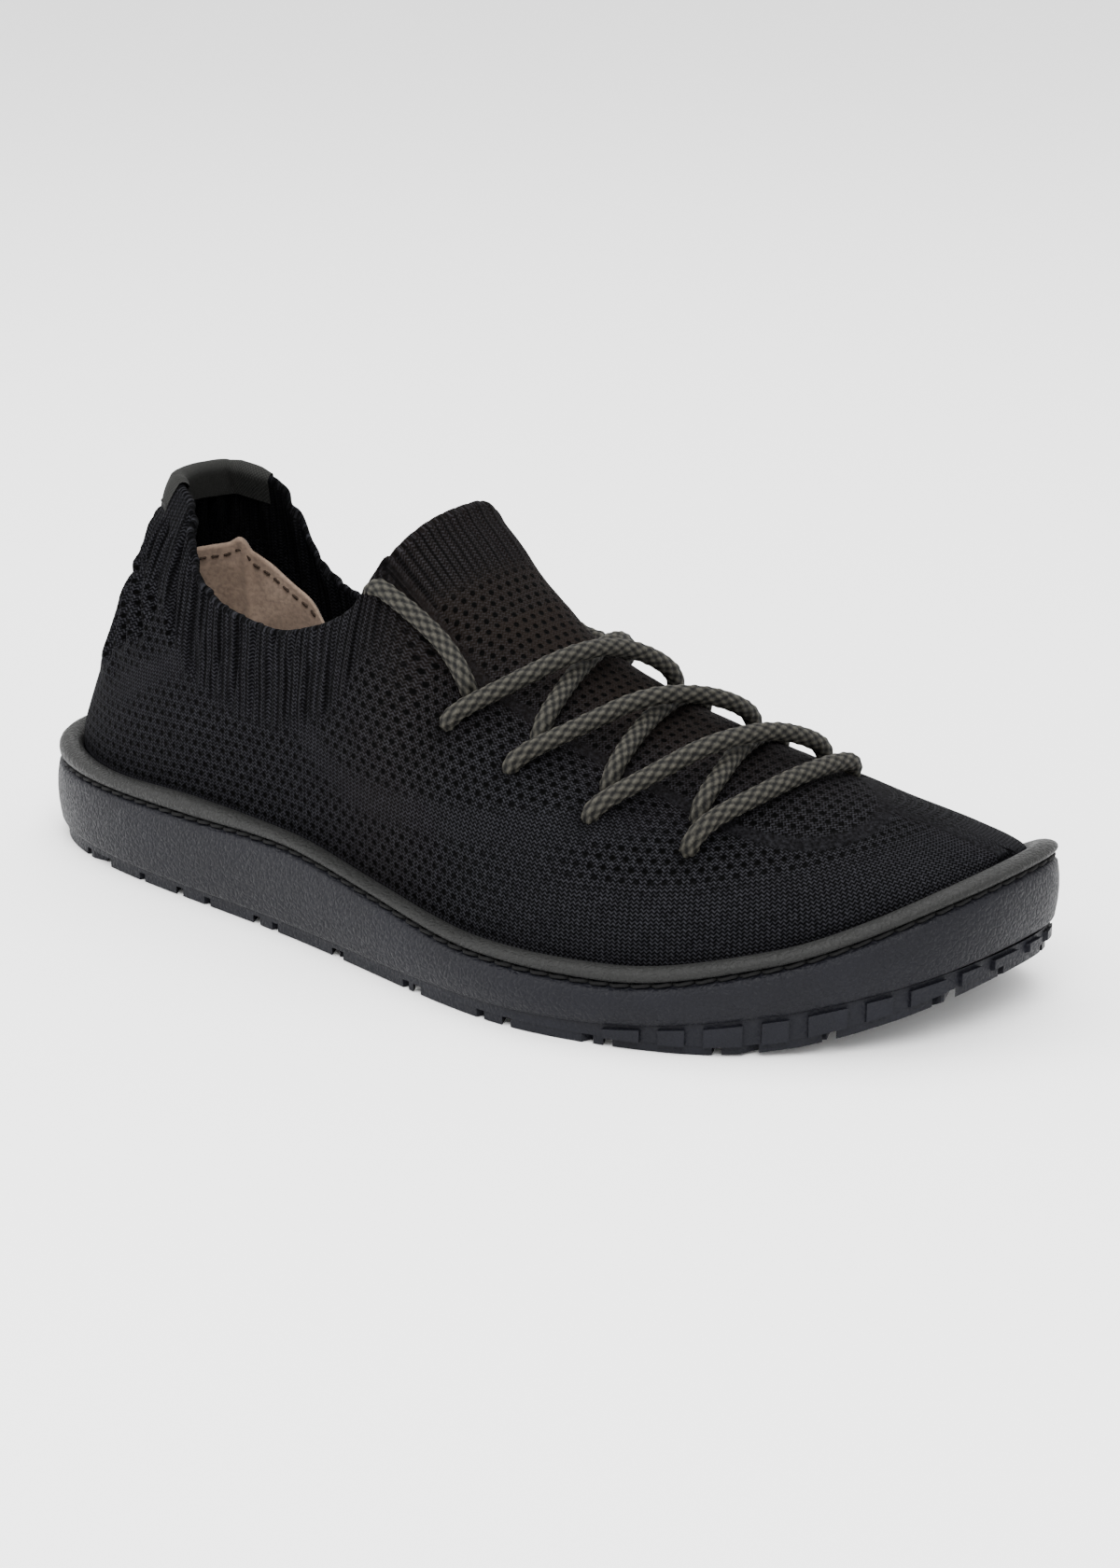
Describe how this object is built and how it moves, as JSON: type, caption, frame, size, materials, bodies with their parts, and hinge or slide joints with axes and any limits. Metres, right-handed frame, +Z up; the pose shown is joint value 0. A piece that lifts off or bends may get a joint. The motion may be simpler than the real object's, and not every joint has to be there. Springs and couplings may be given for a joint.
{
  "type": "running shoe",
  "caption": "Low knit running shoe for the right foot with a flexible stitched cup sole, ribbed collar and tongue, and an elastic criss-cross lace.",
  "frame": {"origin": "on the ground under the middle of the shoe's bounding box", "axes": "+X towards the toe, +Y towards the inner (medial) side of this right shoe, +Z up"},
  "size_m": [0.2554, 0.1036, 0.0928],
  "materials": {
    "tread_rubber": "matte black outsole rubber",
    "sole_rubber": "fine grained charcoal rubber",
    "thread": "waxed black thread",
    "board": "needled insole board",
    "foam": "soft moulded foam",
    "lining_cloth": "black lining cloth",
    "knit": "black engineered knit",
    "stiffener": "thermoplastic sheet",
    "suede": "beige microfibre suede",
    "lining_thread": "brown thread",
    "binding": "matte dark grey binding",
    "tape": "woven reinforcing tape",
    "lace_braid": "dark olive grey braided elastic"
  },
  "bodies": {
    "root": {"tread": "tread_rubber", "cup_sole": "sole_rubber", "sidewall_stitching": "thread", "insole_board": "board", "footbed_foam": "foam", "footbed_cover": "lining_cloth", "knit_upper": "knit", "heel_counter": "stiffener", "heel_lining_lateral": "suede", "heel_lining_medial": "suede", "lining_seam_tape": "suede", "lining_hem_stitching": "lining_thread", "heel_tab_binding": "binding", "heel_tab_stitching": "thread", "eyelet_tape_lateral": "tape", "eyelet_tape_medial": "tape", "lace": "lace_braid", "lace_anchor_lateral": "tape", "lace_anchor_medial": "tape"},
    "tongue_flap": {"tongue": "knit"}
  },
  "joints": [
    {"name": "tongue_fold", "type": "hinge", "parent": "root", "child": "tongue_flap", "pos_m": [0.009, 0, 0.0734], "axis": [0, 1, 0], "range_deg": [0, 30], "stiffness_Nm_per_rad": 0.02}
  ]
}
